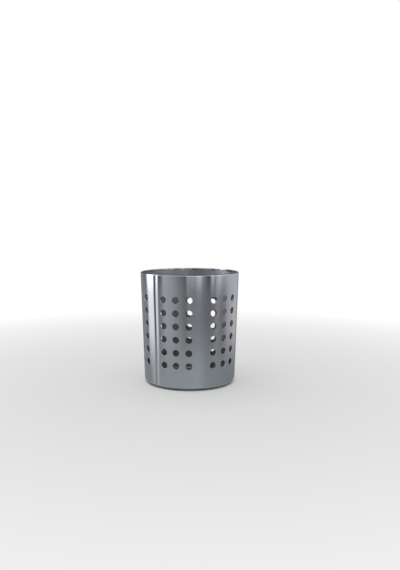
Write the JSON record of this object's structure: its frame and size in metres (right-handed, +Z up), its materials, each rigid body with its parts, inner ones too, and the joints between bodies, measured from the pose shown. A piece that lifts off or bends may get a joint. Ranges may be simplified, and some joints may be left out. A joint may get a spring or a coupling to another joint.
{
  "type": "cutlery drainer",
  "caption": "Round, slightly tapered stand of brushed stainless steel, pierced round its wall and in its floor, that holds wet cutlery upright on a worktop while it drains.",
  "frame": {"origin": "on the worktop, under the middle of the floor", "axes": "+Z up along the axis of the cup, -Y through the middle of one group of wall holes"},
  "size_m": [0.12, 0.12, 0.135],
  "materials": {
    "brushed_steel": "satin, brushed round the cup",
    "foot_plastic": "matt moulded plastic"
  },
  "bodies": {
    "root": {"drawn_cup": "brushed_steel", "foot_1": "foot_plastic", "foot_2": "foot_plastic", "foot_3": "foot_plastic", "foot_4": "foot_plastic"}
  },
  "joints": []
}
